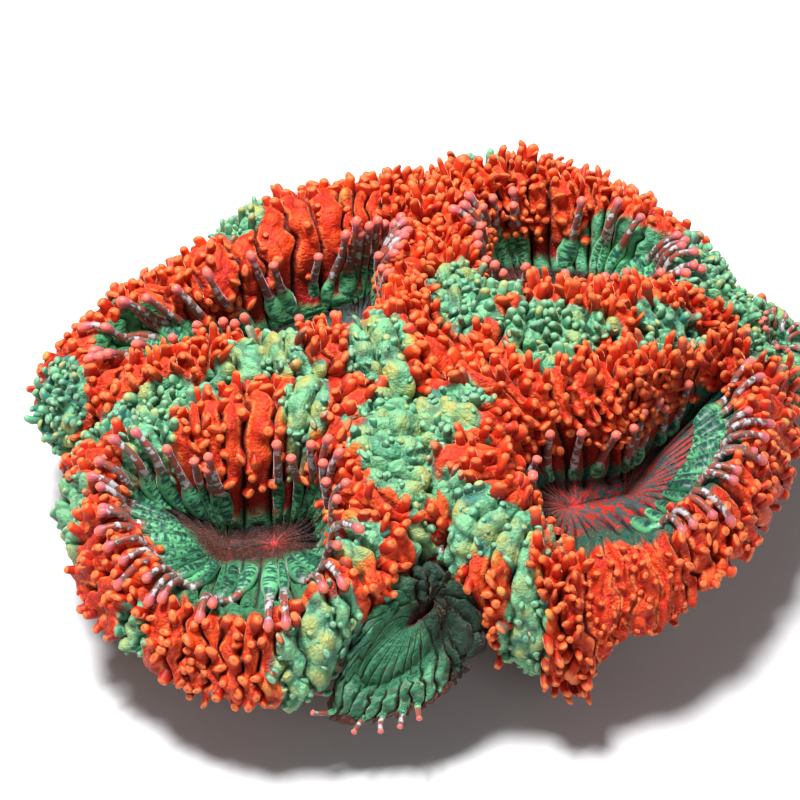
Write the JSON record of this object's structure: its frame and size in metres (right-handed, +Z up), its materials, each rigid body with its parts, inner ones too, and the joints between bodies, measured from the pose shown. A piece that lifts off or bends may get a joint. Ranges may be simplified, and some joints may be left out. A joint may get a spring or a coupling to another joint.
{
  "type": "acan coral",
  "caption": "Low dome of fleshy coral polyps: ring-shaped ribbed rolls with fine knobs round sunken oral discs, fringed with short tentacles, on a flat-cut stony stump",
  "frame": {"origin": "centre of the colony's footprint, on the flat cut face it rests on", "axes": "+Z up out of the polyps, +X along the colony's long side, +Y towards its back"},
  "size_m": [0.0802, 0.0678, 0.0263],
  "materials": {
    "flesh": "soft wet flesh, orange-red with green and yellow patches, satin sheen"
  },
  "bodies": {
    "root": {"colony": "flesh"}
  },
  "joints": []
}
